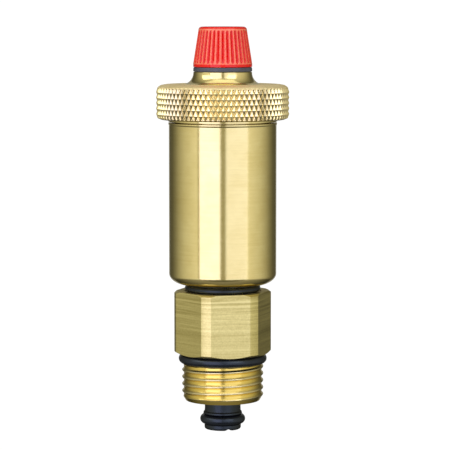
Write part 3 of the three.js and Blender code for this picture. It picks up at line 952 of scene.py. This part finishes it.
def float_shell():
    mesh = turned(
        "float_shell",
        [(9.8, 26.0, 0.1), (10.7, 26.0, 0.15), (10.7, 56.0, 2.0), (0.0, 56.0, 0.0), (0.0, 55.1, 0.0),
         (9.8, 55.1, 1.1)],
        96,
    )
    parts = []
    for side in (-1, 1):
        loop = [(5.2, 55.8), (7.8, 55.8), (7.8, 61.0)]
        loop += circle(6.5, 61.1, 1.3, 0.0, math.pi, 20) + [(5.2, 61.0)]
        ear = stamped("ear", [loop, circle(6.5, 61.0, 0.75, count=28)], 1.0, 0.12)
        parts.append((upright(ear[0], side * 1.5), ear[1]))
    return with_parts(mesh, parts)


def lever_mesh():
    """A flat lever with round eyes, the one at the float slotted."""
    neck = math.asin(0.8 / 1.5)
    loop = circle(-6.5, 61.0, 1.5, neck, TURN - neck, 32)
    loop += circle(6.5, 61.0, 1.5, math.pi + neck, 3 * math.pi - neck, 32)
    slot = circle(6.8, 61.0, 0.75, -math.pi / 2, math.pi / 2, 14)
    slot += circle(6.2, 61.0, 0.75, math.pi / 2, 1.5 * math.pi, 14)
    plate = stamped("lever", [loop, circle(-6.5, 61.0, 0.75, count=28), slot], 1.2, 0.1)
    return mesh_of("float_lever", upright(plate[0]), plate[1], 35)


def valve_pin_mesh():
    stem = turned(
        "valve_pin",
        [(0, 63.0, 0), (1.9, 63.0, 0.05), (1.9, 64.1, 0.1), (2.4, 64.1, 0.1), (2.4, 64.8, 0.1),
         (0.7, 64.8, 0.1), (0.7, 74.2, 0.1), (2.3, 74.2, 0.1), (2.3, 74.9, 0.2), (0, 74.9, 0)],
        48,
    )
    parts = []
    for side in (-1, 1):
        flat = math.asin(0.9 / 1.9)
        cheek = circle(0, 0, 1.9, side * flat, side * (math.pi - flat), 20)
        points, faces = stamped("cheek", [cheek], 4.2, 0.06)
        parts.append((raised(points, 61.0), faces))
    round_foot = stamped("foot", [circle(0, 0, 1.9, count=40)], 0.8, 0.06)
    parts.append((raised(round_foot[0], 59.3), round_foot[1]))
    return with_parts(stem, parts)


piece("float_shell", float_shell(), "float_plastic", "float", FLOAT_PLASTIC)
piece(
    "float_base",
    turned(
        "float_base",
        [(0, 24.6, 0), (10.1, 24.6, 0.2), (10.7, 25.2, 0.2), (10.7, 25.7, 0.1), (9.5, 25.7, 0.1),
         (9.5, 27.3, 0.2), (0, 27.3, 0)],
        96,
    ),
    "float_plastic",
    "float",
    FLOAT_PLASTIC,
)
piece(
    "float_link_pin",
    mesh_of("float_link_pin", *rod(0.6, -2.5, 2.5, (6.5, 61.0))),
    "stainless_steel",
    "float",
    STEEL,
)
piece("float_lever", lever_mesh(), "stainless_steel", "lever", STEEL)
piece("valve_pin", valve_pin_mesh(), "brass_turned", "valve_pin", BRASS)
piece(
    "valve_pad",
    turned(
        "valve_pad",
        [(0.85, 64.9, 0.08), (2.6, 64.9, 0.12), (2.6, 66.1, 0.25), (0.85, 66.1, 0.12)],
        48,
    ),
    "black_rubber",
    "valve_pin",
    RUBBER,
)

# ---- Floor, light and camera -----------------------------------------------------------------

# Lengths in this section are in metres, apart from the lens's in millimetres.
FLOOR_Z = -0.75
FLOOR_RADIUS = 1.4
FACING = math.radians(10.2)  # how far the hexagon's front flat faces to the camera's right
PITCH = math.radians(5.35)  # how far the camera looks down
CAMERA_AWAY = 0.600
CAMERA_UP = 0.08926
LENS = 187.92
LENS_SHIFT = 0.00511


def towards(azimuth):
    """A level direction from the vent. The camera is at 0, and a larger azimuth turns to its left."""
    turn = FACING + math.radians(azimuth)
    return Vector((-math.sin(turn), -math.cos(turn), 0))


def softbox(name, azimuth, away, height, width, tall, strength, colour=(1, 1, 1), level=True):
    """A rectangular softbox at an azimuth and a height, facing level or turned to the vent. Its strength
    is the brightness of its surface."""
    light = bpy.data.lights.new(name, "AREA")
    light.shape = "RECTANGLE"
    light.size = width
    light.size_y = tall
    light.energy = strength * width * tall * math.pi
    light.color = colour
    holder = bpy.data.objects.new(name, light)
    holder.location = towards(azimuth) * away + Vector((0, 0, height))
    aim = Vector((0, 0, height if level else 0.03)) - holder.location
    holder.rotation_euler = aim.to_track_quat("-Z", "Y").to_euler()
    holder.visible_camera = False
    show(holder)


def strip_width(away, low, high):
    """The width of a softbox that spans the azimuths from low to high."""
    return 2 * away * math.tan(math.radians(high - low) / 2)


softbox("key_left", 28.0, 0.7, 0.31, strip_width(0.7, 5.3, 50.6), 1.18, 1.22, (1.0, 0.98, 1.5))
softbox("key_right", -30.7, 0.7, 0.31, strip_width(0.7, 6.4, 55.0), 1.18, 0.72, (1.0, 1.02, 1.45))
softbox("high_left", 70.0, 0.6, 0.42, 0.45, 0.4, 1.5, level=False)
softbox("high_right", -38.0, 0.62, 0.42, 0.42, 0.4, 1.1, level=False)
softbox("back_left", 168.0, 0.7, 0.2, strip_width(0.7, 158, 178), 1.0, 0.25)
softbox("back_right", -168.0, 0.7, 0.2, strip_width(0.7, 158, 178), 1.0, 0.25)
softbox("top", 0.0, 0.0, 0.9, 0.8, 0.8, 0.6, level=False)


def floor():
    edge = circle(0, 0, FLOOR_RADIUS, count=96)
    mesh = bpy.data.meshes.new("floor")
    mesh.from_pydata([(x, y, 0) for x, y in edge], [], [tuple(range(len(edge)))])
    mesh.materials.append(FLOOR)
    made = bpy.data.objects.new("floor", mesh)
    made.location.z = FLOOR_Z
    made.visible_glossy = False  # the brass mirrors the dark lower half of the studio instead
    show(made)


floor()


# Brightness of the studio from right behind the vent to behind the camera.
STUDIO = [
    (0.0, 0.07), (0.14, 0.11), (0.24, 0.21), (0.34, 0.36), (0.5, 0.58), (0.65, 0.73), (0.77, 0.85),
    (0.8, 0.42), (1.0, 0.38),
]


def mapped(tree, value, from_low, from_high, low, high):
    node = tree.nodes.new("ShaderNodeMapRange")
    tree.links.new(value, node.inputs["Value"])
    node.inputs["From Min"].default_value = from_low
    node.inputs["From Max"].default_value = from_high
    node.inputs["To Min"].default_value = low
    node.inputs["To Max"].default_value = high
    return node.outputs["Result"]


def world():
    """White to the camera, as the photograph's backdrop is. To the vent it is a studio that darkens
    from the softboxes towards the back, and below."""
    made = bpy.data.worlds.new("studio")
    made.use_nodes = True
    tree = made.node_tree
    around = tree.nodes.new("ShaderNodeTexCoord").outputs["Generated"]
    front = tree.nodes.new("ShaderNodeVectorMath")
    front.operation = "DOT_PRODUCT"
    front.inputs[1].default_value = towards(0)
    tree.links.new(around, front.inputs[0])
    fall = tree.nodes.new("ShaderNodeValToRGB")
    tree.links.new(mapped(tree, front.outputs["Value"], -1.0, 1.0, 0.0, 1.0), fall.inputs["Fac"])
    for i, (place, brightness) in enumerate(STUDIO):
        stops = fall.color_ramp.elements
        stop = stops[i] if i < 2 else stops.new(place)
        stop.position = place
        stop.color = (brightness, brightness * 0.97, brightness * (0.68 + 0.25 * brightness), 1)
    split = tree.nodes.new("ShaderNodeSeparateXYZ")
    tree.links.new(around, split.inputs[0])
    studio = tree.nodes["Background"]
    tree.links.new(fall.outputs["Color"], studio.inputs["Color"])
    tree.links.new(mapped(tree, split.outputs["Z"], -0.5, -0.36, 0.32, 1.0), studio.inputs["Strength"])
    white = tree.nodes.new("ShaderNodeBackground")
    white.inputs["Color"].default_value = (1.05, 1.05, 1.05, 1)
    path = tree.nodes.new("ShaderNodeLightPath")
    mix = tree.nodes.new("ShaderNodeMixShader")
    tree.links.new(path.outputs["Is Camera Ray"], mix.inputs[0])
    tree.links.new(studio.outputs[0], mix.inputs[1])
    tree.links.new(white.outputs[0], mix.inputs[2])
    tree.links.new(mix.outputs[0], tree.nodes["World Output"].inputs["Surface"])
    bpy.context.scene.world = made


world()


def camera():
    lens = bpy.data.cameras.new("camera")
    lens.sensor_width = 36.0
    lens.lens = LENS
    lens.shift_x = LENS_SHIFT
    lens.clip_start, lens.clip_end = 0.05, 50
    holder = bpy.data.objects.new("camera", lens)
    away = towards(0)
    holder.location = away * CAMERA_AWAY + Vector((0, 0, CAMERA_UP))
    aim = -away * math.cos(PITCH) - Vector((0, 0, math.sin(PITCH)))
    holder.rotation_euler = aim.to_track_quat("-Z", "Y").to_euler()
    show(holder)
    bpy.context.scene.camera = holder


camera()
bpy.context.scene.view_settings.view_transform = "Standard"
